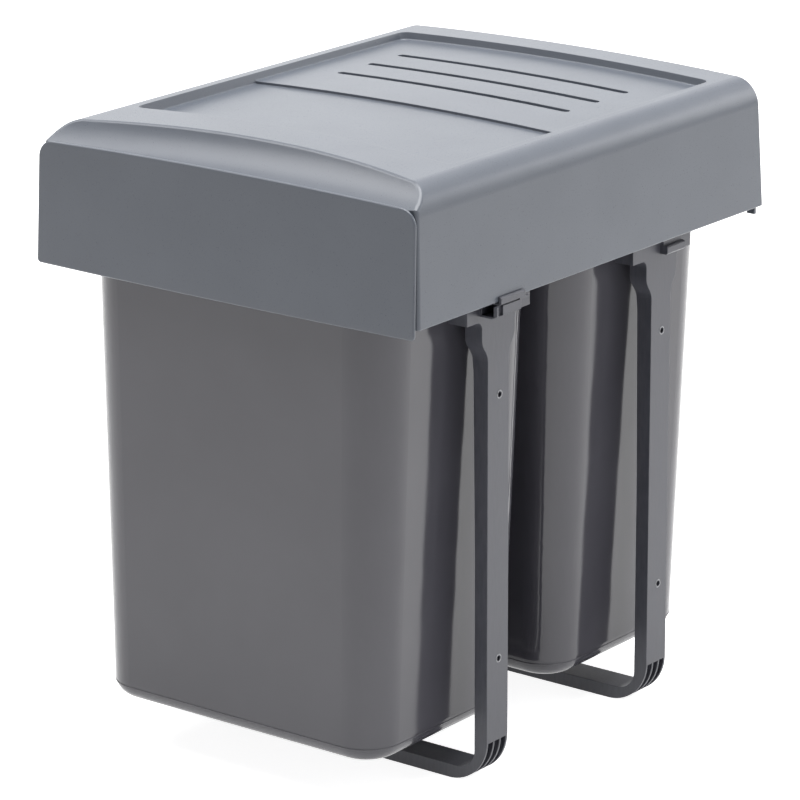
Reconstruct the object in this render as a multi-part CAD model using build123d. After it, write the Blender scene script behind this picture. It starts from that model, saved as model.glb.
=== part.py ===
from build123d import *
import os
from math import asin, atan, cos, degrees, radians, sin, sqrt, tan

# Pull-out bin frame for a base cabinet with a hinged door.
# A fixed group (two U-shaped straps, two side rails and the hood) stays in the cabinet.
# A carriage with the front panel and two bins slides forward on telescopic runners.
# Millimetres. X to the right, Y to the back, Z up, with the cabinet floor at zero.

os.makedirs("parts", exist_ok=True)

# Hood
skirt_bottom_width = 352.0
skirt_overlap = 12.3
hood_height = 103.1
hood_front_y = 4.2
hood_rear_y = 440.7
skirt_draft = 2.56
rear_draft = 2.0
front_lean = 2.47
crown_rise = 3.5
crown_span = 300.0
hood_wall = 2.5
shoulder_radius = 21.0
rear_edge_round = 2.0
skirt_edge_round = 1.0

# Tray pressed into the hood's top
tray_side_margin = 28.5
tray_front_y = 79.0
tray_rear_margin = 31.7
tray_depth = 7.8
tray_corner_radius = 8.0
tray_wall_draft = 14.0
tray_foot_round = 1.2
tray_front_bow = 9.0
tray_low_length = 141.0
tray_step_height = 2.0
tray_reach_share = 3.0

# Grip grooves in the raised rear half of the tray
groove_length = 218.0
groove_width = 6.6
groove_depth = 2.2
groove_pitch = 38.0
groove_setback = 56.9
groove_count = 3

# Finger scoop in the hood's front edge
scoop_bow = 24.8
scoop_rear_y = 48.8
scoop_floor_y = 6.5
scoop_depth = 25.0
scoop_edge_round = 3.0
scoop_turn_share = 0.5

# Ribs and rests inside the hood
rib_thickness = 2.0
rib_drop = 9.0
rib_count = 4
rest_count = 3
lug_side_gap = 4.7
lug_width = 6.8
lug_depth = 2.4
lug_drop = 6.7
lug_height = 26.0

# Front panel
panel_side_inset = 1.0
panel_top_taper = 3.0
panel_drop = 6.3
panel_corner_drop = 17.2
panel_crown = 3.9
panel_thickness = 2.8
panel_bow = 3.4
panel_top_radius = 13.0
panel_bottom_radius = 3.0
panel_edge_round = 1.2
panel_boss_radius = 7.0
panel_boss_margin = 31.0
panel_boss_count = 4

# U-shaped straps
strap_front_y = 102.4
strap_rear_margin = 132.0
strap_width = 25.5
strap_side_gap = 12.4
leg_thickness = 11.2
bar_height = 10.5
strap_outer_radius = 35.0
strap_inner_radius = 16.0
leg_taper_low_z = 175.0
leg_taper_drop = 14.0
leg_taper = 1.6
neck_thickness = 15.1
neck_bend_height = 18.5
neck_bend_drop = 13.5
neck_front_reach = 7.2
neck_rear_reach = 7.0
head_thickness = 16.5
head_front_reach = 25.1
head_length = 75.5
head_height = 28.0
head_top_z = 386.0
head_fillet = 6.0
leg_hole_radius = 2.1
leg_hole_setback = 14.2
leg_hole_low_z = 97.0
leg_hole_pitch = 202.0
floor_hole_radius = 2.25
floor_hole_pitch = 120.0
corner_slot_count = 3
corner_slot_depth = 7.0
corner_slot_top_z = 33.5
corner_rib = 1.9

# Clips that hold the hood's skirt to the strap heads
clip_front_inset = 9.9
clip_length = 38.5
clip_bar_length = 29.0
clip_bar_drop = 11.3
clip_lip_rise = 4.0
clip_lip_thickness = 2.3
clip_gap = 0.35
clip_plate = 1.5
clip_outer_wall = 3.0
clip_slot_height = 1.2
clip_slot_depth = 1.5
clip_skirt_gap = 0.8
clip_under_bevel = 4.0
clip_fin = 1.7
clip_pocket_length = 5.6
clip_pocket_depth = 2.0
clip_lip_setback = 5.2
clip_lip_rear_gap = 4.0
catch_setback = 11.3
catch_length = 23.5
catch_reach = 6.2
catch_drop = 14.3
catch_height = 6.8
catch_tongue_height = 13.8
catch_tongue_thickness = 2.6
catch_bevel = 1.2

# Fixed side rails and the brace that ties them at the back
rail_overhang = 0.1
rail_sheet = 1.5
rail_height = 54.0
rail_front_y = 16.0
rail_rear_gap = 10.2
rail_foot_width = 16.6
rail_bend_radius = 2.2
rail_corner_cut = 16.0
brace_height = 10.5
brace_tab_length = 14.0
rail_screw_count = 2
rail_screw_inset = 8.7
rail_screw_pitch = 44.0
screw_head_radius = 3.9
screw_head_height = 2.2
screw_shank_radius = 1.9
screw_shank_length = 14.0
screw_hole_clearance = 0.35

# Telescopic ball runners
runner_width = 12.7
runner_height = 45.0
runner_rear_gap = 10.5
runner_front_y = 20.0
runner_lift = 30.0
runner_sheet = 1.2
track_depth = 8.3
race_lip = 1.1
ball_radius = 1.9
ball_clearance = 0.3
member_gap = 1.2
outer_row_depth = 5.2
inner_row_depth = 7.6
middle_reach = 11.0
cage_sheet = 0.6
cage_gap = 0.3
cage_edge = 0.7
cage_length = 150.0
cage_front_y = 150.0
balls_per_row = 4
ball_hole_clearance = 0.08
rivet_radius = 2.6
rivet_height = 0.9
rivet_count = 3
rivet_end_inset = 40.0

# Carriage
carriage_sheet = 1.5
ledge_drop = 16.0
ledge_reach = 6.6
carriage_height = 36.0
carriage_front_y = 5.2
carriage_rear_gap = 7.7
ledge_bend_radius = 2.0
front_bar_height = 24.0
cross_bar_width = 26.0
cross_bar_lip = 9.0
panel_screw_head_radius = 4.2

# Bins
bin_front_y = 8.9
bin_rear_gap = 9.2
bin_bar_gap = 23.6
bin_width_taper = 20.0
bin_depth_taper = 16.4
bin_top_rise = 9.0
bin_side_gap = 8.5
bin_gap = 29.1
bin_bottom_corner = 29.6
bin_top_corner = 36.0
bin_bottom_round = 15.0
bin_wall = 1.8
rim_height = 7.5
rim_plate = 2.0
rim_lip = 2.0
rim_side_reach = 6.2
rim_front_reach = 4.0
rim_rear_reach = 7.0

# Overrun that every cut passes its face by
overrun = 5.0

# Places worked out from the sizes above
half_share = 0.5
upright_share = 0.9
quarter_turn = 90.0
sides = (-1, 1)
head_bottom_z = head_top_z - head_height
skirt_bottom_z = head_top_z - skirt_overlap
hood_top_z = skirt_bottom_z + hood_height
scoop_floor_z = hood_top_z - scoop_depth
panel_bottom_z = skirt_bottom_z - panel_drop
panel_corner_z = hood_top_z - panel_corner_drop
neck_high_z = head_bottom_z - neck_bend_drop
neck_low_z = neck_high_z - neck_bend_height
leg_taper_high_z = neck_low_z - leg_taper_drop
clip_bar_bottom_z = skirt_bottom_z - clip_bar_drop
clip_lip_top_z = skirt_bottom_z + clip_lip_rise
catch_bottom_z = skirt_bottom_z - catch_drop
catch_top_z = catch_bottom_z + catch_height
catch_tongue_top_z = catch_top_z + catch_tongue_height
rail_foot_z = head_top_z
rail_top_z = rail_foot_z + rail_height
runner_centre_z = head_top_z + runner_lift
ledge_z = runner_centre_z - ledge_drop
bin_top_z = ledge_z + bin_top_rise
bin_bottom_z = bar_height + bin_bar_gap
crown_radius = (crown_span * half_share) ** 2 / crown_rise * half_share
hood_half = skirt_bottom_width * half_share
lug_outer_x = hood_half - lug_side_gap
scoop_radius = (hood_half ** 2 + scoop_bow ** 2) / scoop_bow * half_share
tray_half = hood_half - tray_side_margin
panel_width = skirt_bottom_width - (panel_side_inset + panel_side_inset)
panel_top_width = panel_width - panel_top_taper
panel_boss_pitch = (panel_width - (panel_boss_margin + panel_boss_margin)) / (panel_boss_count - 1)
strap_half = hood_half - strap_side_gap
head_inner_x = strap_half - head_thickness
neck_inner_x = strap_half - neck_thickness
rail_outer_x = strap_half + rail_overhang
rail_screw_x = rail_outer_x - rail_screw_inset
runner_outer_x = rail_outer_x - rail_sheet
runner_inner_x = runner_outer_x - runner_width
carriage_outer_x = runner_inner_x
tray_rear_y = hood_rear_y - tray_rear_margin
tray_step_y = tray_front_y + tray_low_length
first_groove_y = tray_step_y + groove_setback
rail_rear_y = hood_rear_y - rail_rear_gap
runner_length = rail_rear_y - runner_rear_gap - runner_front_y
carriage_rear_y = hood_rear_y - carriage_rear_gap
bin_pitch = (carriage_rear_y - bin_rear_gap - bin_front_y + bin_gap) * half_share
bin_top_depth = bin_pitch - bin_gap
bin_bottom_depth = bin_top_depth - bin_depth_taper
bin_top_width = (carriage_outer_x - bin_side_gap) / half_share
bin_bottom_width = bin_top_width - bin_width_taper
panel_front_y = -panel_bow
y_shift = -(panel_front_y + hood_rear_y) * half_share
strap_pitch = hood_rear_y - strap_rear_margin - strap_front_y
strap_ys = (strap_front_y, strap_front_y + strap_pitch)


def placed(shape):
    """Moves a shape so that the middle of the whole part's depth lies at Y zero."""
    return Pos(0, y_shift, 0) * shape


def save(shape, node):
    """Writes one sub-part to its own file."""
    export_step(placed(shape), "parts/" + node + ".step")


def together(shapes):
    """Separate solids gathered into one sub-part."""
    return Compound([solid for shape in shapes for solid in shape.solids()])


def mirrored(shape):
    """The same shape on the other side of the middle plane."""
    return mirror(shape, about=Plane.YZ)


def on_side(shape, side):
    """A shape made for the right-hand side, put on the side asked for."""
    return shape if side > 0 else mirrored(shape)


def block(x0, x1, y0, y1, z0, z1):
    """A box between six planes."""
    size = Box(x1 - x0, y1 - y0, z1 - z0, align=(Align.MIN, Align.MIN, Align.MIN))
    return Pos(x0, y0, z0) * size


def profile_xz(points, y0, y1):
    """An outline in X and Z, drawn out along Y."""
    outline = Polyline(*[(x, y0, z) for x, z in points], close=True)
    return extrude(make_face(outline), amount=y1 - y0, dir=(0, 1, 0))


def profile_yz(points, x0, x1):
    """An outline in Y and Z, drawn out along X."""
    outline = Polyline(*[(x0, y, z) for y, z in points], close=True)
    return extrude(make_face(outline), amount=x1 - x0, dir=(1, 0, 0))


def rod_x(x0, x1, y, z, radius):
    """A round bar along X."""
    face = Plane((x0, y, z), z_dir=(1, 0, 0)) * Circle(radius)
    return extrude(face, amount=x1 - x0, dir=(1, 0, 0))


def rod_y(x, y0, y1, z, radius):
    """A round bar along Y."""
    face = Plane((x, y0, z), z_dir=(0, 1, 0)) * Circle(radius)
    return extrude(face, amount=y1 - y0, dir=(0, 1, 0))


def rod_z(x, y, z0, z1, radius):
    """A round bar along Z."""
    return extrude(Pos(x, y, z0) * Circle(radius), amount=z1 - z0, dir=(0, 0, 1))


def hood_half_at(z, inset):
    """Half the hood's width at a height, inside the skirt by the inset."""
    return hood_half - inset - (z - skirt_bottom_z) * tan(radians(skirt_draft))


def hood_front_at(z):
    """The hood's leaning front plane."""
    return hood_front_y + (z - skirt_bottom_z) * tan(radians(front_lean))


def hood_rear_at(z, inset):
    """The hood's drafted rear plane."""
    return hood_rear_y - inset - (z - skirt_bottom_z) * tan(radians(rear_draft))


def crown_drop(x, drop):
    """How far the crowned top has fallen at a distance from the middle."""
    radius = crown_radius - drop
    return radius - sqrt(radius ** 2 - x ** 2)


def crowned_prism(half_width, y0, y1, z0, peak_z):
    """A block whose top follows the hood's crown, with its ridge at the peak height."""
    drop = hood_top_z - peak_z
    edge_z = peak_z - crown_drop(half_width, drop)
    top = ThreePointArc((-half_width, y0, edge_z), (0, y0, peak_z), (half_width, y0, edge_z))
    sides = Polyline((half_width, y0, edge_z), (half_width, y0, z0), (-half_width, y0, z0),
                     (-half_width, y0, edge_z))
    return extrude(make_face([top, sides]), amount=y1 - y0, dir=(0, 1, 0))


def hood_block(inset):
    """The hood's outer form, or the hollow inside it for a positive inset."""
    low_z = skirt_bottom_z - (overrun if inset else 0)
    peak_z = hood_top_z - inset
    high_z = hood_top_z + overrun
    low_half, high_half = hood_half_at(low_z, inset), hood_half_at(high_z, inset)
    section = profile_xz([(-low_half, low_z), (low_half, low_z), (high_half, high_z), (-high_half, high_z)],
                         hood_front_y - overrun, hood_rear_y + overrun)
    side = profile_yz([(hood_front_at(low_z) + inset, low_z), (hood_rear_at(low_z, inset), low_z),
                       (hood_rear_at(high_z, inset), high_z), (hood_front_at(high_z) + inset, high_z)],
                      -hood_half - overrun, hood_half + overrun)
    top = crowned_prism(hood_half + overrun, hood_front_y - overrun, hood_rear_y + overrun,
                        low_z - overrun, peak_z)
    body = section & side & top
    long = [e for e in body.edges() if abs((e % 0).Y) > upright_share]
    middle_z = (low_z + peak_z) * half_share
    body = fillet([e for e in long if e.center().Z > middle_z], shoulder_radius - inset)
    if inset:
        return body
    rear = body.faces().sort_by(Axis.Y)[-1]
    return fillet([e for e in rear.edges() if e.center().Z > low_z], rear_edge_round)


def scoop(outset):
    """The finger scoop: a cove swept round the arch and out through both shoulders."""
    depth = hood_top_z - scoop_floor_z
    reach = scoop_rear_y - scoop_floor_y
    centre_z = scoop_floor_z + (reach ** 2 + depth ** 2) / depth * half_share
    radius = centre_z - scoop_floor_z + outset
    high_z = hood_top_z + overrun
    rear_y = scoop_floor_y + sqrt(radius ** 2 - (centre_z - hood_top_z) ** 2)
    turn = radians(scoop_turn_share * degrees(asin(reach / radius)))
    mid = (0, scoop_floor_y + radius * sin(turn), centre_z - radius * cos(turn))
    cove = ThreePointArc((0, rear_y, hood_top_z), mid, (0, scoop_floor_y, centre_z - radius))
    front_y = scoop_floor_y - reach
    rest = Polyline((0, scoop_floor_y, centre_z - radius), (0, front_y, centre_z - radius),
                    (0, front_y, high_z), (0, rear_y, high_z), (0, rear_y, hood_top_z))
    axis_y = scoop_rear_y - scoop_radius
    half_angle = degrees(atan(tray_half / half_share / scoop_radius))
    turned = revolve(make_face([cove, rest]), axis=Axis((0, axis_y, 0), (0, 0, 1)),
                     revolution_arc=half_angle + half_angle)
    return Pos(0, axis_y, 0) * Rot(0, 0, -half_angle) * Pos(0, -axis_y, 0) * turned


def hood_outside():
    """The hood's outer form with the scoop cut out, its upper edge rounded and the skirt's edge eased."""
    body = hood_block(0) - scoop(0)
    low_z = scoop_floor_z + hood_wall
    upper = [e for e in body.edges() if e.center().Z > low_z and e.center().Y < scoop_rear_y + hood_wall]
    body = fillet([e for e in upper if e.bounding_box().max.Y < scoop_rear_y + hood_wall], scoop_edge_round)
    lowest = body.edges().group_by(Axis.Z)[0]
    return fillet([e for e in lowest if e.center().Y > hood_front_y + hood_wall], skirt_edge_round)


def tray_plan(outset):
    """The tray's outline at the hood's top: a bowed front edge and rounded corners."""
    half = tray_half + outset
    front, rear = tray_front_y - outset, tray_rear_y + outset
    bow = ThreePointArc((-half, front, 0), (0, front + tray_front_bow, 0), (half, front, 0))
    rest = Polyline((half, front, 0), (half, rear, 0), (-half, rear, 0), (-half, front, 0))
    face = make_face([bow, rest])
    return fillet(face.vertices(), tray_corner_radius + outset)


def tray_pocket(outset, depth):
    """The tray's recess, with drafted walls and a crowned floor."""
    lean = overrun * tan(radians(tray_wall_draft))
    face = Pos(0, 0, hood_top_z + overrun) * tray_plan(outset + lean)
    deep = extrude(face, amount=overrun + tray_depth * tray_reach_share, dir=(0, 0, -1),
                   taper=tray_wall_draft)
    floor = crowned_prism(tray_half + tray_half * half_share, tray_front_y - tray_depth * tray_reach_share,
                          tray_rear_y + tray_depth * tray_reach_share, skirt_bottom_z, hood_top_z - depth)
    return deep - floor


def tray_cut():
    """The tray's recess with its foot rounded and its rear half left higher."""
    floor_z = hood_top_z - tray_depth
    raised = crowned_prism(hood_half, tray_step_y, tray_rear_y + overrun, skirt_bottom_z,
                           floor_z + tray_step_height)
    pocket = tray_pocket(0, tray_depth) - raised
    low_z = floor_z + tray_step_height
    feet = [e for e in pocket.edges() if e.bounding_box().max.Z < low_z + tray_foot_round
            and abs(e.center().Y - tray_step_y) > tray_foot_round]
    return fillet(feet, tray_foot_round) + groove_cuts()


def groove_cuts():
    """Round-ended grip grooves across the raised half of the tray."""
    floor_z = hood_top_z - tray_depth + tray_step_height
    cuts = []
    for index in range(groove_count):
        y = first_groove_y + index * groove_pitch
        slot = Pos(0, y, skirt_bottom_z) * SlotOverall(groove_length, groove_width)
        high = extrude(slot, amount=hood_top_z - skirt_bottom_z, dir=(0, 0, 1))
        cuts.append(high - crowned_prism(hood_half, y - groove_width, y + groove_width,
                                         skirt_bottom_z - overrun, floor_z - groove_depth))
    return cuts


def hood_hollow():
    """The space inside the hood, clear of the tray and the scoop."""
    hollow = hood_block(hood_wall)
    hollow -= tray_pocket(hood_wall, tray_depth + hood_wall)
    return hollow - scoop(hood_wall)


def hood_mouth():
    """The opening in the hood's front that the bins pass through."""
    half = hood_half_at(skirt_bottom_z, hood_wall)
    high_half = hood_half_at(scoop_floor_z, hood_wall)
    low_z, high_z = skirt_bottom_z - overrun, scoop_floor_z - hood_wall
    return profile_xz([(-half, low_z), (half, low_z), (high_half, high_z), (-high_half, high_z)],
                      hood_front_y - overrun, hood_front_at(high_z) + hood_wall + overrun)


def hood_ribs():
    """Stiffening ribs under the tray's floor."""
    ribs = []
    span = tray_rear_y - tray_front_y
    for index in range(rib_count):
        y = tray_front_y + span * (index + half_share) / rib_count
        peak_z = hood_top_z - tray_depth - hood_wall * half_share
        edge_z = peak_z - crown_drop(tray_half, 0)
        low_z = edge_z - rib_drop - hood_wall
        ribs.append(crowned_prism(tray_half, y, y + rib_thickness, low_z, peak_z))
    return ribs


def hood_rests():
    """Gussets inside the skirt that stand on the side rails."""
    rests = []
    span = rail_rear_y - rail_front_y
    inner_x = rail_outer_x - rail_sheet
    for index in range(rest_count):
        y = rail_front_y + span * (index + half_share) / rest_count
        for side in sides:
            rib = block(inner_x, hood_half, y, y + rib_thickness, rail_top_z, hood_top_z)
            rests.append(on_side(rib, side))
    return rests


def hood_lugs():
    """Two lugs on the inside of the hood's rear wall, reaching below the skirt."""
    front_y = hood_rear_at(skirt_bottom_z, hood_wall) - lug_depth
    low_z = skirt_bottom_z - lug_drop
    lug = block(lug_outer_x - lug_width, lug_outer_x, front_y, front_y + lug_depth,
                low_z, low_z + lug_height)
    return [on_side(lug, side) for side in sides]


def hood_shell():
    """The moulded hood: skirt, crowned top, tray, scoop, lugs and the ribs inside."""
    shell = hood_outside() - hood_hollow() - hood_mouth()
    inside = hood_block(hood_wall * half_share)
    for piece in hood_ribs() + hood_rests():
        shell += piece & inside
    for lug in hood_lugs():
        shell += lug
    return shell - tray_cut()


def panel_outline():
    """The front panel seen from the front: slightly narrower at the top, with an arched top edge."""
    half, top_half = panel_width * half_share, panel_top_width * half_share
    y = -panel_width * half_share
    arch = ThreePointArc((-top_half, y, panel_corner_z), (0, y, panel_corner_z + panel_crown),
                         (top_half, y, panel_corner_z))
    rest = Polyline((top_half, y, panel_corner_z), (half, y, panel_bottom_z),
                    (-half, y, panel_bottom_z), (-top_half, y, panel_corner_z))
    face = make_face([arch, rest])
    middle_z = (panel_bottom_z + panel_corner_z) * half_share
    return extrude(face, amount=panel_width, dir=(0, 1, 0)), middle_z


def front_panel():
    """The front panel: a thin plate bowed across its width and leaning back, with bosses behind."""
    solid, middle_z = panel_outline()
    upright = [e for e in solid.edges() if abs((e % 0).Y) > upright_share]
    solid = fillet([e for e in upright if e.center().Z > middle_z], panel_top_radius)
    upright = [e for e in solid.edges() if abs((e % 0).Y) > upright_share]
    solid = fillet([e for e in upright if e.center().Z < panel_bottom_z + panel_edge_round],
                   panel_bottom_radius)
    half = panel_width * half_share + overrun
    radius = ((panel_width * half_share) ** 2 + panel_bow ** 2) / panel_bow * half_share
    centre_y = panel_front_y + radius
    high = panel_corner_z + panel_crown + overrun - panel_bottom_z
    face = Pos(0, centre_y) * (Circle(radius) - Circle(radius - panel_thickness))
    ring = extrude(Pos(0, 0, panel_bottom_z - overrun) * face, amount=high + overrun, dir=(0, 0, 1))
    plate = solid & ring & block(-half, half, panel_front_y - overrun, panel_bow + overrun,
                                 panel_bottom_z - overrun, panel_bottom_z + high)
    plate = fillet([e for e in plate.edges() if e.length > panel_thickness + panel_thickness],
                   panel_edge_round)
    pivot = Pos(0, 0, panel_bottom_z)
    plate = pivot * Rot(-front_lean, 0, 0) * Pos(0, 0, -panel_bottom_z) * plate
    return plate + panel_bosses()


def boss_places():
    """Where the panel's bosses stand, as distances across and heights."""
    span = panel_boss_pitch * (panel_boss_count - 1)
    z = ledge_z - front_bar_height * half_share
    return [(index * panel_boss_pitch - span * half_share, z) for index in range(panel_boss_count)]


def panel_bosses():
    """Round bosses on the panel's back that the front bar is screwed to."""
    bosses = []
    for x, z in boss_places():
        front_y = panel_front_y + crown_like(x) + (z - panel_bottom_z) * tan(radians(front_lean))
        boss = rod_y(x, front_y + panel_thickness * half_share, carriage_front_y, z, panel_boss_radius)
        hole = rod_y(x, front_y + panel_thickness, carriage_front_y + overrun, z, screw_shank_radius)
        bosses.append(boss - hole)
    return bosses


def crown_like(x):
    """How far back the bowed panel lies at a distance from its middle."""
    return panel_bow * (x / (panel_width * half_share)) ** 2


def neck_bend(x0, x1, z0, z1):
    """The smooth sideways step of a strap's neck, seen from the front."""
    up = (0, 0, 1)
    return Spline((x0, 0, z0), (x1, 0, z1), tangents=(up, up))


def corner_arc(x, z, radius):
    """The lower right quarter of a circle, seen from the front."""
    reach = radius * cos(radians(quarter_turn * half_share))
    return ThreePointArc((x, 0, z - radius), (x + reach, 0, z - reach), (x + radius, 0, z))


def strap_half_outline():
    """Half of the strap's U seen from the front: a straight outside and a leg that thickens upwards."""
    inner_x = strap_half - leg_thickness
    upper_x = inner_x - leg_taper
    low_turn = strap_half - strap_outer_radius
    outer = [Line((0, 0, 0), (low_turn, 0, 0)),
             corner_arc(low_turn, strap_outer_radius, strap_outer_radius),
             Polyline((strap_half, 0, strap_outer_radius), (strap_half, 0, head_bottom_z),
                      (neck_inner_x, 0, head_bottom_z), (neck_inner_x, 0, neck_high_z))]
    high_turn = bar_height + strap_inner_radius
    inner = [neck_bend(upper_x, neck_inner_x, leg_taper_high_z, neck_high_z),
             Polyline((upper_x, 0, leg_taper_high_z), (inner_x, 0, leg_taper_low_z),
                      (inner_x, 0, high_turn)),
             corner_arc(inner_x - strap_inner_radius, high_turn, strap_inner_radius),
             Polyline((inner_x - strap_inner_radius, 0, bar_height), (0, 0, bar_height), (0, 0, 0))]
    return make_face(outer + inner)


def strap_side_form():
    """The strap seen from the side: slim below, stepping out to both sides under its head."""
    up = (0, 0, 1)
    front_y, rear_y = -neck_front_reach, strap_width + neck_rear_reach
    front = Spline((0, 0, neck_low_z), (0, front_y, neck_high_z), tangents=(up, up))
    rear = Spline((0, strap_width, neck_low_z), (0, rear_y, neck_high_z), tangents=(up, up))
    top = Polyline((0, front_y, neck_high_z), (0, front_y, head_bottom_z), (0, rear_y, head_bottom_z),
                   (0, rear_y, neck_high_z))
    foot = Polyline((0, strap_width, neck_low_z), (0, strap_width, 0), (0, 0, 0), (0, 0, neck_low_z))
    face = Pos(-strap_half - overrun, 0, 0) * make_face([front, top, rear, foot])
    return extrude(face, amount=strap_half / half_share + overrun + overrun, dir=(1, 0, 0))


def strap_head():
    """The block on top of a leg that the side rail stands on."""
    y0 = -head_front_reach
    head = block(head_inner_x, strap_half, y0, y0 + head_length, head_bottom_z, head_top_z)
    for y in rail_screw_ys():
        head -= rod_z(rail_screw_x, y, head_top_z - screw_shank_length, head_top_z + overrun,
                      screw_shank_radius + screw_hole_clearance)
    return head


def rail_screw_ys():
    """Places of the rail screws along a head, from the strap's front face."""
    middle = head_length * half_share - head_front_reach
    first = middle - rail_screw_pitch * (rail_screw_count - 1) * half_share
    return [first + index * rail_screw_pitch for index in range(rail_screw_count)]


def corner_slots():
    """Slots that lighten the outside of a strap's lower corner, with thin ribs between."""
    slot = (strap_width - corner_rib * (corner_slot_count + 1)) / corner_slot_count
    low_turn = strap_half - strap_outer_radius
    slots = []
    for index in range(corner_slot_count):
        y = corner_rib + index * (slot + corner_rib)
        cut = block(low_turn, strap_half + overrun, y, y + slot, -overrun, corner_slot_top_z)
        core = rod_y(low_turn, y - overrun, y + slot + overrun, strap_outer_radius,
                     strap_outer_radius - corner_slot_depth)
        slots.append(cut - core)
    return slots


def strap():
    """One U-shaped strap with the front face of its leg at Y zero."""
    depth = neck_front_reach + strap_width + neck_rear_reach
    half = Pos(0, -neck_front_reach, 0) * extrude(strap_half_outline(), amount=depth, dir=(0, 1, 0))
    half = half & strap_side_form()
    for slot in corner_slots():
        half -= slot
    half = half + strap_head()
    for y in (-neck_front_reach, strap_width + neck_rear_reach):
        nook = [e for e in half.edges() if abs((e % 0).X) > upright_share
                and abs(e.center().Y - y) < corner_rib and abs(e.center().Z - head_bottom_z) < corner_rib]
        half = fillet(nook, head_fillet)
    for z in (leg_hole_low_z, leg_hole_low_z + leg_hole_pitch):
        half -= rod_x(0, strap_half + overrun, leg_hole_setback, z, leg_hole_radius)
    half -= rod_z(floor_hole_pitch * half_share, strap_width * half_share, -overrun,
                  bar_height + overrun, floor_hole_radius)
    return half + mirrored(half)


def skirt_clip():
    """A front clip: a hollow bar, open in front, with a lip that hooks up outside the skirt."""
    lip_x = hood_half + clip_gap
    outer_x = lip_x + clip_lip_thickness
    top_z = skirt_bottom_z - clip_skirt_gap
    slot_z = top_z - clip_plate
    y0 = strap_front_y - clip_front_inset
    bar_y = y0 + clip_bar_length
    y1 = y0 + clip_length
    outline = [(strap_half, clip_bar_bottom_z), (outer_x - clip_under_bevel, clip_bar_bottom_z),
               (outer_x, clip_bar_bottom_z + clip_under_bevel * half_share),
               (outer_x, clip_lip_top_z - clip_lip_thickness * half_share),
               (outer_x - clip_lip_thickness * half_share, clip_lip_top_z), (lip_x, clip_lip_top_z),
               (lip_x, top_z), (strap_half, top_z)]
    clip = profile_xz(outline, y0, y1)
    clip -= block(strap_half + clip_plate, outer_x - clip_outer_wall, y0 - overrun, bar_y - clip_plate,
                  clip_bar_bottom_z + clip_plate, slot_z)
    clip -= block(strap_half, outer_x, bar_y, y1, clip_bar_bottom_z, slot_z)
    clip -= block(outer_x - clip_slot_depth, outer_x, y0 + clip_fin, bar_y - clip_plate,
                  slot_z, slot_z + clip_slot_height)
    clip -= block(outer_x - clip_pocket_depth, outer_x, y0 + clip_fin, y0 + clip_fin + clip_pocket_length,
                  clip_bar_bottom_z + clip_under_bevel * half_share, slot_z)
    clip -= block(strap_half, outer_x, y0, y0 + clip_lip_setback, slot_z, clip_lip_top_z)
    return clip - block(lip_x, outer_x, y1 - clip_lip_rear_gap, y1, top_z, clip_lip_top_z)


def rear_catch():
    """A rear catch: a bar on the head's outer face with a tongue inside the skirt."""
    y0 = strap_front_y + strap_pitch + catch_setback
    y1 = y0 + catch_length
    bar = block(strap_half, strap_half + catch_reach, y0, y1, catch_bottom_z, catch_top_z)
    long = [e for e in bar.edges() if abs((e % 0).Y) > upright_share and e.center().X > strap_half]
    bar = chamfer(long, catch_bevel)
    tongue = block(strap_half, strap_half + catch_tongue_thickness, y0, y1, catch_top_z, catch_tongue_top_z)
    return bar + tongue


def side_rail():
    """A fixed side rail: a steel angle standing on the heads of both straps."""
    foot_x = rail_outer_x - rail_foot_width
    outline = [(foot_x, rail_foot_z), (rail_outer_x, rail_foot_z), (rail_outer_x, rail_top_z),
               (runner_outer_x, rail_top_z), (runner_outer_x, rail_foot_z + rail_sheet),
               (foot_x, rail_foot_z + rail_sheet)]
    rail = profile_xz(outline, rail_front_y, rail_rear_y)
    bend = [e for e in rail.edges() if abs((e % 0).Y) > upright_share
            and abs(e.center().X - rail_outer_x) < rail_sheet * half_share
            and e.center().Z < rail_foot_z + rail_sheet]
    rail = fillet(bend, rail_bend_radius)
    corners = [e for e in rail.edges() if abs((e % 0).X) > upright_share and e.center().Z == rail_top_z]
    rail = chamfer(corners, rail_corner_cut)
    for y in all_rail_screw_ys():
        rail -= rod_z(rail_screw_x, y, rail_foot_z - overrun, rail_foot_z + overrun,
                      screw_shank_radius + screw_hole_clearance)
    for y in rivet_ys():
        rail -= rod_x(runner_outer_x - overrun, rail_outer_x + overrun, y, runner_centre_z,
                      screw_shank_radius + screw_hole_clearance)
    return rail


def all_rail_screw_ys():
    """Places of all rail screws on one side."""
    return [start + y for start in strap_ys for y in rail_screw_ys()]


def rail_screws():
    """Pan-head screws that hold the side rails to the strap heads."""
    screws = []
    low_z = rail_foot_z - screw_shank_length + rail_sheet
    seat_z = rail_foot_z + rail_sheet
    for side in sides:
        for y in all_rail_screw_ys():
            shank = rod_z(rail_screw_x, y, low_z, seat_z, screw_shank_radius)
            head = rod_z(rail_screw_x, y, seat_z, seat_z + screw_head_height, screw_head_radius)
            head = fillet(head.edges().group_by(Axis.Z)[-1], screw_head_height * half_share)
            screws.append(on_side(shank + head, side))
    return screws


def rear_brace():
    """The steel strip that ties the two side rails together at the back."""
    tab_x = rail_outer_x - rail_foot_width
    web = block(-rail_outer_x, rail_outer_x, rail_rear_y - rail_sheet, rail_rear_y,
                rail_foot_z - brace_height, rail_foot_z)
    for side in sides:
        tab = block(tab_x, rail_outer_x, rail_rear_y - brace_tab_length, rail_rear_y,
                    rail_foot_z - rail_sheet, rail_foot_z)
        web += on_side(tab, side)
    return web


def member_outline(depth_height_points):
    """Turns depths from the cabinet side and heights from the runner's middle into an outline."""
    return [(runner_outer_x - depth, runner_centre_z + height) for depth, height in depth_height_points]


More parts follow.
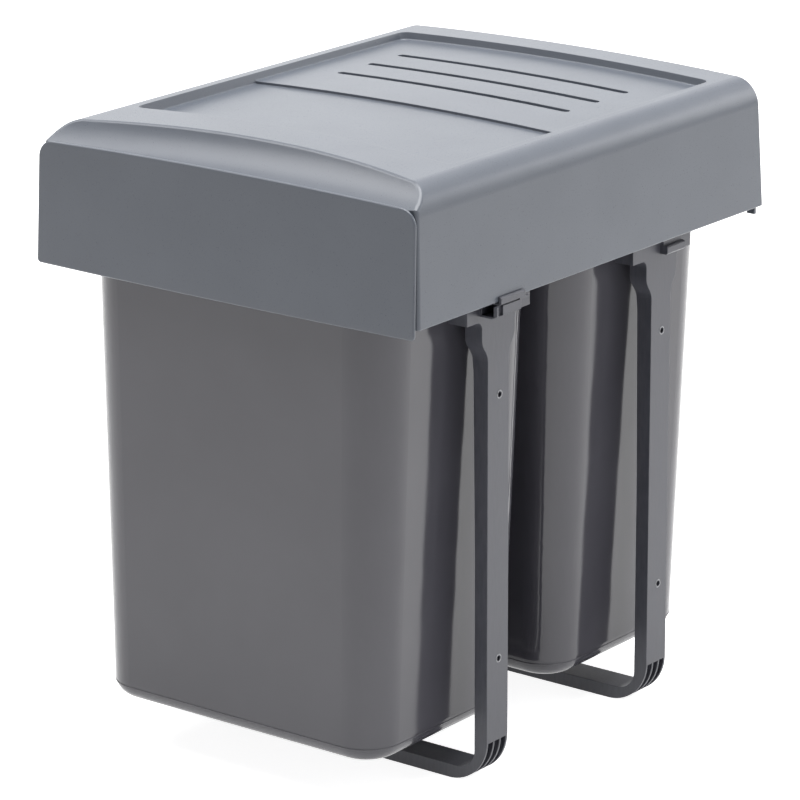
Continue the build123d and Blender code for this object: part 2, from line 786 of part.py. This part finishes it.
def channel(depth0, depth1, half, sheet, lip):
    """A runner member's outline: a web and two flanges, with lips that keep the balls in."""
    web, edge = depth0 + sheet, depth1 - sheet
    upper = [(depth0, half), (depth1, half), (depth1, half - sheet - lip), (edge, half - sheet - lip),
             (edge, half - sheet), (web, half - sheet)]
    lower = [(depth, -height) for depth, height in reversed(upper)]
    return member_outline(upper + lower)


def ball_room():
    """The height that a row of balls takes between two members."""
    return (ball_radius + ball_clearance) / half_share


def member_halves():
    """Half the heights of the cabinet, middle and drawer members."""
    outer = runner_height * half_share
    middle = outer - runner_sheet - ball_room()
    return outer, middle, middle - runner_sheet - ball_room()


def runner_cabinet():
    """The outer member, fixed to the side rail."""
    outline = channel(0, track_depth + runner_sheet, member_halves()[0], runner_sheet, race_lip)
    return drilled(profile_xz(outline, runner_front_y, runner_front_y + runner_length))


def runner_middle():
    """The middle member, which slides half as far as the carriage."""
    depth = runner_sheet + member_gap
    outline = channel(depth, middle_reach, member_halves()[1], runner_sheet, race_lip)
    return profile_xz(outline, runner_front_y, runner_front_y + runner_length)


def runner_drawer():
    """The inner member, fixed to the carriage."""
    half, sheet = member_halves()[2], runner_sheet
    start = inner_row_depth - ball_radius - cage_edge * half_share
    edge = runner_width - sheet
    upper = [(runner_width, half), (start, half), (start, half - sheet), (edge, half - sheet)]
    lower = [(depth, -height) for depth, height in reversed(upper)]
    return drilled(profile_xz(member_outline(upper + lower), runner_front_y,
                              runner_front_y + runner_length))


def rivet_ys():
    """Places of the rivets along a runner."""
    span = runner_length - rivet_end_inset - rivet_end_inset
    first = runner_front_y + rivet_end_inset
    return [first + span * index / (rivet_count - 1) for index in range(rivet_count)]


def drilled(member):
    """A runner member with its rivet holes."""
    for y in rivet_ys():
        member -= rod_x(runner_inner_x - overrun, runner_outer_x + overrun, y, runner_centre_z,
                        screw_shank_radius + screw_hole_clearance)
    return member


def rivets(shank_x0, shank_x1, head_x0, head_x1):
    """A row of rivets on each side, each a shank with a domed head."""
    made = []
    for side in sides:
        for y in rivet_ys():
            shank = rod_x(shank_x0, shank_x1, y, runner_centre_z, screw_shank_radius)
            head = rod_x(head_x0, head_x1, y, runner_centre_z, rivet_radius)
            made.append(on_side(shank + head, side))
    return made


def ball_cage(web_depth, row_depth, row_half, end_depth):
    """A ball cage: a thin channel with its balls, as separate solids."""
    sheet = cage_sheet
    half = row_half + sheet * half_share
    upper = [(web_depth, half), (end_depth, half), (end_depth, half - sheet),
             (web_depth + sheet, half - sheet)]
    lower = [(depth, -height) for depth, height in reversed(upper)]
    cage = profile_xz(member_outline(upper + lower), cage_front_y, cage_front_y + cage_length)
    x = runner_outer_x - row_depth
    balls = []
    for index in range(balls_per_row):
        y = cage_front_y + cage_length * (index + half_share) / balls_per_row
        cage -= rod_z(x, y, runner_centre_z - half - overrun, runner_centre_z + half + overrun,
                      ball_radius + ball_hole_clearance)
        for height in (-row_half, row_half):
            balls.append(Pos(x, y, runner_centre_z + height) * Sphere(ball_radius))
    return [cage] + balls


def outer_cage():
    """The cage between the cabinet member and the middle member."""
    row_half = member_halves()[0] - runner_sheet - ball_room() * half_share
    return ball_cage(runner_sheet + cage_gap, outer_row_depth, row_half,
                     outer_row_depth + ball_radius + cage_edge)


def inner_cage():
    """The cage between the middle member and the drawer member."""
    row_half = member_halves()[1] - runner_sheet - ball_room() * half_share
    web_depth = runner_sheet + member_gap + runner_sheet + cage_edge
    return ball_cage(web_depth, inner_row_depth, row_half, inner_row_depth + ball_radius + cage_edge)


def carriage_side():
    """A carriage side: a steel angle whose ledge carries the bins' rims."""
    inner_x = carriage_outer_x - carriage_sheet
    ledge_x = inner_x - ledge_reach
    top_z = ledge_z + carriage_height
    outline = [(ledge_x, ledge_z), (carriage_outer_x, ledge_z), (carriage_outer_x, top_z),
               (inner_x, top_z), (inner_x, ledge_z + carriage_sheet), (ledge_x, ledge_z + carriage_sheet)]
    rail = profile_xz(outline, carriage_front_y + carriage_sheet, carriage_rear_y)
    bend = [e for e in rail.edges() if abs((e % 0).Y) > upright_share
            and abs(e.center().X - carriage_outer_x) < carriage_sheet * half_share
            and e.center().Z < ledge_z + carriage_sheet]
    rail = fillet(bend, ledge_bend_radius)
    for y in rivet_ys():
        rail -= rod_x(inner_x - overrun, carriage_outer_x + overrun, y, runner_centre_z,
                      screw_shank_radius + screw_hole_clearance)
    return rail


def front_bar():
    """The carriage's front bar, with a wing at each end that meets the side."""
    low_z = ledge_z + carriage_sheet - front_bar_height
    wing_x = carriage_outer_x - carriage_sheet - ledge_reach
    y1 = carriage_front_y + carriage_sheet
    bar = block(-carriage_outer_x, carriage_outer_x, carriage_front_y, y1, low_z, ledge_z + carriage_sheet)
    for side in sides:
        wing = block(wing_x, carriage_outer_x, carriage_front_y, y1, ledge_z, ledge_z + carriage_height)
        bar += on_side(wing, side)
    for x, z in boss_places():
        bar -= rod_y(x, carriage_front_y - overrun, y1 + overrun, z,
                     screw_shank_radius + screw_hole_clearance)
    return bar


def cross_bar(y0, y1):
    """A carriage cross bar: a strip with its edges folded down."""
    half = carriage_outer_x - carriage_sheet - ledge_reach
    top_z = ledge_z + carriage_sheet
    bar = block(-half, half, y0, y1, top_z - cross_bar_lip, top_z)
    if y1 - y0 > cross_bar_lip:
        return bar - block(-half, half, y0 + carriage_sheet, y1 - carriage_sheet,
                           top_z - cross_bar_lip, ledge_z)
    return bar - block(-half, half, y0, y1 - carriage_sheet, top_z - cross_bar_lip, ledge_z)


def panel_screws():
    """Screws through the front bar into the panel's bosses."""
    screws = []
    seat_y = carriage_front_y + carriage_sheet
    for x, z in boss_places():
        depth = crown_like(x) + (z - panel_bottom_z) * tan(radians(front_lean))
        tip_y = panel_front_y + depth + panel_thickness + panel_thickness * half_share
        shank = rod_y(x, tip_y, seat_y, z, screw_shank_radius)
        head = rod_y(x, seat_y, seat_y + screw_head_height * half_share, z, panel_screw_head_radius)
        screws.append(shank + head)
    return screws


def bin_level(z, inset):
    """A bin's outline at a height, inside its wall by the inset."""
    share = (z - bin_bottom_z) / (bin_top_z - bin_bottom_z)
    width = bin_bottom_width + (bin_top_width - bin_bottom_width) * share
    depth = bin_bottom_depth + (bin_top_depth - bin_bottom_depth) * share
    corner = bin_bottom_corner + (bin_top_corner - bin_bottom_corner) * share
    both = inset / half_share
    outline = RectangleRounded(width - both, depth - both, corner - inset)
    return Pos(0, bin_front_y + depth * half_share, z) * outline


def bin_form(inset, low_z, high_z):
    """A bin's tapered body with its rounded bottom."""
    body = loft([bin_level(low_z, inset), bin_level(high_z, inset)], ruled=True)
    return fillet(body.edges().group_by(Axis.Z)[0], bin_bottom_round - inset)


def bin_rim():
    """The rim that hangs on the carriage: a flat top and a lip turned down."""
    half = bin_top_width * half_share + rim_side_reach
    y0 = bin_front_y - rim_front_reach
    y1 = bin_front_y + bin_top_depth + rim_rear_reach
    middle = (y0 + y1) * half_share
    corner = bin_top_corner + rim_front_reach
    low_z = bin_top_z - rim_height
    outer = Pos(0, middle, low_z) * RectangleRounded(half / half_share, y1 - y0, corner)
    lip = rim_lip / half_share
    inner = Pos(0, middle, low_z) * RectangleRounded(half / half_share - lip, y1 - y0 - lip,
                                                     corner - rim_lip)
    ring = extrude(outer, amount=rim_height, dir=(0, 0, 1))
    return ring - extrude(inner, amount=rim_height - rim_plate, dir=(0, 0, 1))


def waste_bin():
    """One bin, in the front place."""
    body = bin_form(0, bin_bottom_z, bin_top_z) + bin_rim()
    return body - bin_form(bin_wall, bin_bottom_z + bin_wall, bin_top_z + overrun)


def build_hood():
    """Saves the hood."""
    save(hood_shell(), "hood_shell")


def build_straps():
    """Saves the two straps with their clips and catches."""
    one = strap()
    for name, y in zip(("strap_front", "strap_rear"), strap_ys):
        save(Pos(0, y, 0) * one, name)
    save(together([on_side(skirt_clip(), side) for side in sides]), "skirt_clips")
    save(together([on_side(rear_catch(), side) for side in sides]), "rear_catches")


def build_rails():
    """Saves the fixed rails, the brace and their screws."""
    save(together(rail_screws()), "rail_screws")
    save(rear_brace(), "rear_brace")
    for name, side in zip(("left", "right"), sides):
        save(on_side(side_rail(), side), "side_rail_" + name)


def build_runners():
    """Saves the runner members, their cages and rivets."""
    members = {"runner_cabinet_": runner_cabinet(), "runner_middle_": runner_middle(),
               "runner_drawer_": runner_drawer()}
    cages = {"cage_outer_": outer_cage(), "cage_inner_": inner_cage()}
    for name, side in zip(("left", "right"), sides):
        for node, member in members.items():
            save(on_side(member, side), node + name)
        for node, solids in cages.items():
            save(together([on_side(solid, side) for solid in solids]), node + name)
    inner_x = carriage_outer_x - carriage_sheet
    save(together(rivets(runner_outer_x - runner_sheet, rail_outer_x, rail_outer_x,
                         rail_outer_x + rivet_height)), "rail_rivets")
    save(together(rivets(inner_x, carriage_outer_x + runner_sheet, inner_x - rivet_height,
                         inner_x)), "carriage_rivets")


def build_carriage():
    """Saves the carriage, the front panel and the bins."""
    for name, side in zip(("left", "right"), sides):
        save(on_side(carriage_side(), side), "carriage_side_" + name)
    save(front_bar(), "front_bar")
    middle = (bin_front_y + bin_top_depth + bin_front_y + bin_pitch) * half_share
    reach = cross_bar_width * half_share
    save(cross_bar(middle - reach, middle + reach), "middle_bar")
    rear_bin_y = bin_front_y + bin_pitch + bin_top_depth
    save(cross_bar(rear_bin_y + bin_wall, carriage_rear_y), "rear_bar")
    save(front_panel(), "front_panel")
    save(together(panel_screws()), "panel_screws")
    for name, y in (("bin_front", 0), ("bin_rear", bin_pitch)):
        save(Pos(0, y, 0) * waste_bin(), name)


build_hood()
build_straps()
build_rails()
build_runners()
build_carriage()
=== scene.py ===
import math

import bpy
import numpy as np
from mathutils import Matrix


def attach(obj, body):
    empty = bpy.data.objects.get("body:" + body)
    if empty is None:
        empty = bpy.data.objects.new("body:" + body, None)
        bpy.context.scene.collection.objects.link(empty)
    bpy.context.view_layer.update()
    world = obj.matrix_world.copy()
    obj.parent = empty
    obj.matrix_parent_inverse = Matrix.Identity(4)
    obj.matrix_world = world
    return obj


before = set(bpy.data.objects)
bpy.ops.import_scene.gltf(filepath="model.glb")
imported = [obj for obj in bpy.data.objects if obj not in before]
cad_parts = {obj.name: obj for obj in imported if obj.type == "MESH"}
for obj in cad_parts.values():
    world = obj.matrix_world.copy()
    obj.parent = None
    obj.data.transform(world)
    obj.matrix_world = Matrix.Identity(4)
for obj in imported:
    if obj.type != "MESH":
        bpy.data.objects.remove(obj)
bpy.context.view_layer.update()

# Lengths are in metres, in the frame of the part: X to the right, Y to the back, Z up.
MM = 0.001
Y_SHIFT = -218.65 * MM

# Bins: places and tapers of their outline, and the line where the mould parts
BIN_FRONT_Y = 8.9 * MM + Y_SHIFT
BIN_PITCH = 222.0 * MM
BIN_BOTTOM_Z = 34.1 * MM
BIN_TOP_Z = 409.0 * MM
BIN_BOTTOM_WIDTH = 262.0 * MM
BIN_WIDTH_TAPER = 20.0 * MM
BIN_BOTTOM_DEPTH = 176.5 * MM
BIN_DEPTH_TAPER = 16.4 * MM
BIN_BOTTOM_CORNER = 29.6 * MM
BIN_CORNER_TAPER = 6.4 * MM
SEAM_Z = 46.1 * MM
SEAM_REACH = 0.2 * MM
SEAM_HALF_HEIGHT = 0.4 * MM
STEPS_PER_CORNER = 14
STEPS_ROUND_BEAD = 8

# Straps: the outer face of their legs, the screw holes in it and the rims of the holes
LEG_FACE_X = 163.6 * MM
HOLE_HEIGHTS = (97.0 * MM, 299.0 * MM)
FRONT_HOLE_Y = 116.6 * MM + Y_SHIFT
STRAP_PITCH = 206.3 * MM
RIM_RADIUS = 2.75 * MM
RIM_HALF_WIDTH = 0.6 * MM
RIM_RISE = 0.35 * MM
STEPS_ROUND_HOLE = 36
STEPS_ROUND_RIM = 10

# Spans of a noise's values: the narrow one lets more of them reach its two ends.
WIDE_SPAN = (0.3, 0.7)
NARROW_SPAN = (0.35, 0.65)

# The photograph's camera, found from the edges of the hood, the panel, the legs and the bins.
# Its angles are in degrees: turned left from looking along Y, dipped from level, and rolled. The
# look level raises it from looking straight down, as a new camera does.
CAMERA_PLACE = (1.9552, -2.3278 + Y_SHIFT, 1.2247)
CAMERA_TURN = 37.593
CAMERA_DIP = 17.061
CAMERA_ROLL = -0.167
LOOK_LEVEL = 90.0
LENS_MM = 198.44
SENSOR_MM = 36.0
VIEW_END = 50.0

# The white studio: the strength of the floor and of the air round it, as light and as shown
FLOOR_SIZE = 30.0
FLOOR_Z = -0.3 * MM
FLOOR_LIGHT = 0.0
FLOOR_SHOWN = 0.9
AIR_LIGHT = 0.08
AIR_SHOWN = 1.0


def linear(code):
    """An sRGB hex colour as linear red, green, blue and a full alpha."""
    parts = [int(code[i:i + 2], 16) / 255 for i in (1, 3, 5)]
    return [p / 12.92 if p <= 0.04045 else ((p + 0.055) / 1.055) ** 2.4 for p in parts] + [1.0]


def node(tree, kind, inputs=None, **settings):
    """Adds one node. An input is a value or another node's output, and a setting is a property."""
    made = tree.nodes.new(kind)
    for name, value in settings.items():
        setattr(made, name, value)
    for name, value in (inputs or {}).items():
        if isinstance(value, bpy.types.NodeSocket):
            tree.links.new(value, made.inputs[name])
        else:
            made.inputs[name].default_value = value
    return made


def blank(name):
    """A new material, its node tree and the output of its only node, the object coordinates."""
    made = bpy.data.materials.new(name)
    made.use_nodes = True
    made.node_tree.nodes.clear()
    place = node(made.node_tree, "ShaderNodeTexCoord").outputs["Object"]
    return made, made.node_tree, place


def finished(made, inputs):
    """The material, with a shader on its surface that takes the given inputs."""
    shader = node(made.node_tree, "ShaderNodeBsdfPrincipled", inputs)
    node(made.node_tree, "ShaderNodeOutputMaterial", {"Surface": shader.outputs["BSDF"]})
    return made


def ramp(tree, factor, span, codes):
    """One hex colour turning to another while the factor crosses a span."""
    made = node(tree, "ShaderNodeValToRGB", {"Fac": factor})
    for element, place, code in zip(made.color_ramp.elements, span, codes):
        element.position = place
        element.color = linear(code)
    return made.outputs["Color"]


def stretched(tree, place, scale):
    """Coordinates scaled along X, Y and Z: below 1, a pattern is drawn out along that axis."""
    return node(tree, "ShaderNodeMapping", {"Vector": place, "Scale": scale}).outputs["Vector"]


def grown(tree, place, cell, detail=2.0, rough=0.5):
    """Noise whose cells have a given size in metres."""
    return node(tree, "ShaderNodeTexNoise",
                {"Vector": place, "Scale": 1 / cell, "Detail": detail, "Roughness": rough}).outputs["Fac"]


def mapped(tree, value, span, to_span):
    """A value carried from one span to another and held inside it."""
    return node(tree, "ShaderNodeMapRange",
                {"Value": value, "From Min": span[0], "From Max": span[1],
                 "To Min": to_span[0], "To Max": to_span[1]}, clamp=True).outputs["Result"]


def raised(tree, height, strength, distance, below=None):
    """A bump from a height, laid over another bump if there is one."""
    inputs = {"Height": height, "Strength": strength, "Distance": distance}
    if below is not None:
        inputs["Normal"] = below
    return node(tree, "ShaderNodeBump", inputs).outputs["Normal"]


def eased(tree, radius):
    """The normal of edges rounded by a small radius, so that each catches a thin line of light."""
    return node(tree, "ShaderNodeBevel", {"Radius": radius}, samples=8).outputs["Normal"]


def moulded_abs():
    """ABS, injection moulded in a spark-eroded tool: satin, with a very fine even grain."""
    made, tree, place = blank("moulded_abs_spark_grain")
    # The colour drifts very slightly over some 70 mm, as in a large moulding.
    cloud = grown(tree, place, 71.43 * MM, detail=3.0)
    # Real grain of 0.1 mm would vanish, so it is drawn at about 0.9 mm.
    grain = grown(tree, place, 0.9091 * MM, rough=0.6)
    # Flat mouldings are wavy over some 60 mm, which bends their long reflections.
    wave = grown(tree, place, 62.5 * MM, detail=1.0)
    slow = raised(tree, wave, strength=0.12, distance=4.0 * MM, below=eased(tree, 0.7 * MM))
    return finished(made, {
        "Base Color": ramp(tree, cloud, WIDE_SPAN, ("#5A5F68", "#5F646D")),
        "Roughness": mapped(tree, grain, WIDE_SPAN, (0.27, 0.36)),
        "Normal": raised(tree, grain, strength=0.10, distance=0.2 * MM, below=slow),
        "IOR": 1.52})


def moulded_polyamide():
    """Glass-filled polyamide of the straps and clips: satin grey, slightly mottled by its fibres."""
    made, tree, place = blank("moulded_polyamide_glass_filled")
    # Real fibres under 1 mm long would vanish, so the mottling is 2.4 mm wide and 13 mm high.
    upright = stretched(tree, place, (1.0, 1.0, 0.18))
    fibres = grown(tree, upright, 2.381 * MM, detail=3.0, rough=0.6)
    return finished(made, {
        "Base Color": ramp(tree, fibres, NARROW_SPAN, ("#42434B", "#4A4B53")),
        "Roughness": mapped(tree, fibres, WIDE_SPAN, (0.34, 0.48)),
        "Normal": raised(tree, fibres, strength=0.12, distance=0.3 * MM, below=eased(tree, 0.6 * MM)),
        "IOR": 1.53})


def pale_rim_painted_glint():
    """Polyamide rims of the screw holes: a pale colour that paints a glint on them, and a smooth finish."""
    made, tree, place = blank("moulded_polyamide_rim_painted_glint")
    # The painted glint and the smoothness are uneven over 1 to 2 mm.
    uneven_glint = grown(tree, place, 1.4286 * MM)
    return finished(made, {
        # The pale base colour is a painted glint, lighter than the straps' own polyamide.
        "Base Color": ramp(tree, uneven_glint, WIDE_SPAN, ("#85868B", "#9C9DA1")),
        "Roughness": mapped(tree, uneven_glint, WIDE_SPAN, (0.2, 0.34)),
        "IOR": 1.53})


def moulded_polypropylene():
    """Polypropylene of the bins: glossy and dark, with the slow waves of a thin moulded wall."""
    made, tree, place = blank("moulded_polypropylene_gloss")
    cloud = grown(tree, place, 111.11 * MM, detail=3.0)
    # Thin walls sink and swell a little over some 50 mm, which bends their reflections.
    wave = grown(tree, place, 50.0 * MM, detail=1.0)
    # The skin has a faint orange peel of 2 mm, which keeps the gloss from being a mirror.
    peel = grown(tree, place, 2.0 * MM)
    slow = raised(tree, wave, strength=0.10, distance=4.0 * MM, below=eased(tree, 0.4 * MM))
    return finished(made, {
        "Base Color": ramp(tree, cloud, WIDE_SPAN, ("#4B4A51", "#515057")),
        "Roughness": mapped(tree, cloud, WIDE_SPAN, (0.09, 0.13)),
        "Normal": raised(tree, peel, strength=0.03, distance=0.2 * MM, below=slow),
        "IOR": 1.49})


def zinc_plated_sheet():
    """Folded steel sheet, zinc plated: dull blue-white, with fine rolling lines along Y."""
    made, tree, place = blank("zinc_plated_folded_sheet")
    # Rolling lines of 0.1 mm would vanish, so they are 0.7 mm wide and 24 mm long.
    lines = grown(tree, stretched(tree, place, (1.0, 0.03, 1.0)), 0.7143 * MM)
    cloud = grown(tree, place, 33.33 * MM, detail=4.0, rough=0.6)
    return finished(made, {
        "Base Color": ramp(tree, cloud, WIDE_SPAN, ("#A2A6AA", "#B2B5B8")),
        "Roughness": mapped(tree, cloud, WIDE_SPAN, (0.32, 0.46)),
        "Normal": raised(tree, lines, strength=0.08, distance=0.2 * MM),
        "Metallic": 1.0})


def rolled_runner_strip():
    """Cold-rolled runner strip, bright zinc: smoother than the sheet, drawn lines along Y."""
    made, tree, place = blank("rolled_runner_strip_bright_zinc")
    # Drawn lines 0.4 mm wide and 32 mm long, coarser than the real ones so that they show
    lines = grown(tree, stretched(tree, place, (1.0, 0.012, 1.0)), 0.3846 * MM, detail=3.0)
    return finished(made, {
        "Base Color": ramp(tree, lines, WIDE_SPAN, ("#ABAFB2", "#BCBFC2")),
        "Roughness": mapped(tree, lines, WIDE_SPAN, (0.22, 0.34)),
        "Normal": raised(tree, lines, strength=0.10, distance=0.1 * MM),
        "Metallic": 1.0})


def polished_ball_steel():
    """Hardened ball steel and its bright pressed cage, with a trace of grease dulling it."""
    made, tree, place = blank("polished_ball_steel_greased")
    # The grease lies in smears of some 4 mm.
    film = grown(tree, place, 3.846 * MM, detail=3.0)
    return finished(made, {
        "Base Color": ramp(tree, film, NARROW_SPAN, ("#C9C7BF", "#DADAD8")),
        "Roughness": mapped(tree, film, NARROW_SPAN, (0.12, 0.3)),
        "Metallic": 1.0})


def zinc_plated_screw():
    """Cold-headed screw and rivet steel, zinc plated and tumbled: small dents, softly bright."""
    made, tree, place = blank("zinc_plated_headed_steel")
    # Tumbling leaves shallow dents of about 1 mm.
    dents = grown(tree, place, 1.1111 * MM)
    return finished(made, {
        "Base Color": ramp(tree, dents, WIDE_SPAN, ("#B9BCBD", "#CFD1D2")),
        "Roughness": mapped(tree, dents, WIDE_SPAN, (0.25, 0.4)),
        "Normal": raised(tree, dents, strength=0.15, distance=0.1 * MM),
        "Metallic": 1.0})


def dress(material, names):
    """Gives CAD nodes their material."""
    for name in names:
        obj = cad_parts[name]
        obj.data.materials.clear()
        obj.data.materials.append(material)


def closed_sweep(name, points):
    """A smooth mesh over a grid of points, rows by columns, closed round both ways.

    Each face runs from a point to the next row, then to the next column, then back to its own row:
    the order that points the faces of both shapes here outwards.
    """
    rows, columns = points.shape[:2]
    index = np.pad(np.arange(rows * columns).reshape(rows, columns), ((0, 1), (0, 1)), "wrap")
    quads = np.stack([index[:-1, :-1], index[1:, :-1], index[1:, 1:], index[:-1, 1:]], -1).reshape(-1, 4)
    mesh = bpy.data.meshes.new(name)
    mesh.from_pydata(points.reshape(-1, 3).tolist(), [], quads.tolist())
    mesh.update()
    mesh.polygons.foreach_set("use_smooth", np.ones(len(mesh.polygons), bool))
    obj = bpy.data.objects.new(name, mesh)
    bpy.context.scene.collection.objects.link(obj)
    return obj


def bin_outline(z):
    """A bin's outline at height z, as points and outward directions.

    Each corner is a quarter circle of the radius the bin has at that height, and the straight walls
    join the corners, so a point is a corner's centre plus the radius times (cos a, sin a).
    """
    share = (z - BIN_BOTTOM_Z) / (BIN_TOP_Z - BIN_BOTTOM_Z)
    half_width = (BIN_BOTTOM_WIDTH + BIN_WIDTH_TAPER * share) / 2
    half_depth = (BIN_BOTTOM_DEPTH + BIN_DEPTH_TAPER * share) / 2
    radius = BIN_BOTTOM_CORNER + BIN_CORNER_TAPER * share
    steps = 4 * STEPS_PER_CORNER
    angle = np.linspace(0, math.tau, steps, endpoint=False) + math.pi / steps
    out = np.stack([np.cos(angle), np.sin(angle)], -1)
    reach = np.array([half_width - radius, half_depth - radius])
    return np.sign(out) * reach + radius * out + [0, half_depth], out


def bin_seam(name, front_y):
    """The witness line where the bin's mould parts: a bead carried round the bin.

    The bead's section is an ellipse: its reach out from the wall times cos b, and its half height
    times sin b.
    """
    line, out = bin_outline(SEAM_Z)
    turn = np.linspace(0, math.tau, STEPS_ROUND_BEAD, endpoint=False)
    flat = line[:, None, :] + out[:, None, :] * (SEAM_REACH * np.cos(turn))[None, :, None]
    height = np.broadcast_to(SEAM_Z + SEAM_HALF_HEIGHT * np.sin(turn), flat.shape[:2])
    points = np.concatenate([flat + [0, front_y], height[..., None]], -1)
    return closed_sweep(name, points)


def hole_rims(name, across, along):
    """The raised rims round the screw holes in one strap's legs, all rims in one mesh.

    A rim is a ring round the hole's axis. Its section is an ellipse: its half width times cos b away
    from the axis, and its rise times sin b out of the leg's face.
    """
    turn = np.linspace(0, math.tau, STEPS_ROUND_HOLE, endpoint=False)[:, None]
    section = np.linspace(0, math.tau, STEPS_ROUND_RIM, endpoint=False)[None, :]
    radius = RIM_RADIUS + RIM_HALF_WIDTH * np.cos(section)
    rims = []
    for side in (-1, 1):
        for height in HOLE_HEIGHTS:
            ring = np.broadcast_arrays(side * (across + RIM_RISE * np.sin(section)),
                                       along + radius * np.cos(turn),
                                       height + radius * np.sin(side * turn))
            rims.append(closed_sweep(name, np.stack(ring, -1)))
    with bpy.context.temp_override(active_object=rims[0], selected_editable_objects=rims):
        bpy.ops.object.join()
    return rims[0]


def lamp(name, place, target, size, power):
    """A soft white rectangular lamp that looks at a point."""
    data = bpy.data.lights.new(name, "AREA")
    data.shape = "RECTANGLE"
    data.size, data.size_y = size
    data.energy = power
    obj = bpy.data.objects.new(name, data)
    bpy.context.scene.collection.objects.link(obj)
    obj.location = place
    aim = np.array(target) - np.array(place)
    lift = math.atan2(aim[2], math.hypot(aim[0], aim[1]))
    heading = math.atan2(aim[1], aim[0])
    obj.rotation_euler = (math.pi / 2 + lift, 0, heading - math.pi / 2)


def white_to_the_eye(tree, as_light, as_shown):
    """A strength with one value as light, and another for what shows to the camera or in a gloss."""
    path = node(tree, "ShaderNodeLightPath").outputs
    shown = node(tree, "ShaderNodeMath", {0: path["Is Camera Ray"], 1: path["Is Glossy Ray"]},
                 operation="MAXIMUM").outputs["Value"]
    return mapped(tree, shown, (0.0, 1.0), (as_light, as_shown))


def studio():
    """The white floor, the soft lamps and the white surroundings."""
    bpy.ops.mesh.primitive_plane_add(size=FLOOR_SIZE, location=(0, 0, FLOOR_Z))
    floor = bpy.context.object
    floor.name = "studio_floor"
    paint, tree, _ = blank("matt_white_floor_paint")
    floor.data.materials.append(finished(paint, {
        "Base Color": linear("#E8E8E8"),
        "Roughness": 0.9,
        "Emission Color": linear("#FFFFFF"),
        "Emission Strength": white_to_the_eye(tree, FLOOR_LIGHT, FLOOR_SHOWN)}))
    lamp("top_softbox", place=(0.1, 0.1, 3.0), target=(0, 0, 0.2), size=(2.4, 2.4), power=132.0)
    lamp("left_softbox", place=(-2.0, -0.6, 2.5), target=(0, 0, 0.2), size=(1.4, 1.4), power=26.0)
    lamp("right_softbox", place=(2.8, 1.2, 1.3), target=(0, 0, 0.2), size=(1.6, 1.8), power=17.0)
    lamp("back_softbox", place=(0.9, 3.0, 1.3), target=(0, 0, 0.3), size=(2.2, 1.4), power=30.0)
    lamp("far_softbox", place=(-1.9, 2.4, 1.25), target=(0, 0, 0.45), size=(2.4, 1.5), power=6.0)
    world = bpy.data.worlds.new("white_studio")
    bpy.context.scene.world = world
    world.use_nodes = True
    tree = world.node_tree
    tree.nodes.clear()
    air = node(tree, "ShaderNodeBackground",
               {"Color": linear("#FFFFFF"), "Strength": white_to_the_eye(tree, AIR_LIGHT, AIR_SHOWN)})
    node(tree, "ShaderNodeOutputWorld", {"Surface": air.outputs["Background"]})


def photo_camera():
    """The camera of the photograph: a long lens, to the right of the front and above."""
    data = bpy.data.cameras.new("photo_camera")
    data.sensor_width = SENSOR_MM
    data.lens = LENS_MM
    data.clip_end = VIEW_END
    obj = bpy.data.objects.new("photo_camera", data)
    bpy.context.scene.collection.objects.link(obj)
    turns = Matrix.Identity(4)
    for degrees, axis in ((CAMERA_TURN, "Z"), (LOOK_LEVEL - CAMERA_DIP, "X"), (CAMERA_ROLL, "Z")):
        turns = turns @ Matrix.Rotation(math.radians(degrees), 4, axis)
    obj.matrix_world = Matrix.Translation(CAMERA_PLACE) @ turns
    bpy.context.scene.camera = obj


photo_camera()
studio()
bpy.context.scene.view_settings.view_transform = "Standard"

SIDES = ("left", "right")
dress(moulded_abs(), ["hood_shell", "front_panel"])
dress(moulded_polyamide(), ["strap_front", "strap_rear", "skirt_clips", "rear_catches"])
gloss = moulded_polypropylene()
dress(gloss, ["bin_front", "bin_rear"])
dress(zinc_plated_sheet(), ["rear_brace", "front_bar", "middle_bar", "rear_bar"]
      + ["side_rail_" + s for s in SIDES] + ["carriage_side_" + s for s in SIDES])
dress(rolled_runner_strip(), ["runner_" + kind + "_" + s for kind in ("cabinet", "middle", "drawer")
                              for s in SIDES])
dress(polished_ball_steel(), ["cage_" + kind + "_" + s for kind in ("outer", "inner") for s in SIDES])
dress(zinc_plated_screw(), ["rail_screws", "panel_screws", "rail_rivets", "carriage_rivets"])

for seam_name, seam_y in (("front_bin_seam", BIN_FRONT_Y), ("rear_bin_seam", BIN_FRONT_Y + BIN_PITCH)):
    seam = bin_seam(seam_name, seam_y)
    seam.data.materials.append(gloss)
    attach(seam, "carriage")

# The rims' pale material paints a glint on them.
rim_painted_glint = pale_rim_painted_glint()
for rims_name, rims_y in (("front_hole_rims", FRONT_HOLE_Y), ("rear_hole_rims", FRONT_HOLE_Y + STRAP_PITCH)):
    rims = hole_rims(rims_name, LEG_FACE_X, rims_y)
    rims.data.materials.append(rim_painted_glint)
    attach(rims, "hood_frame")
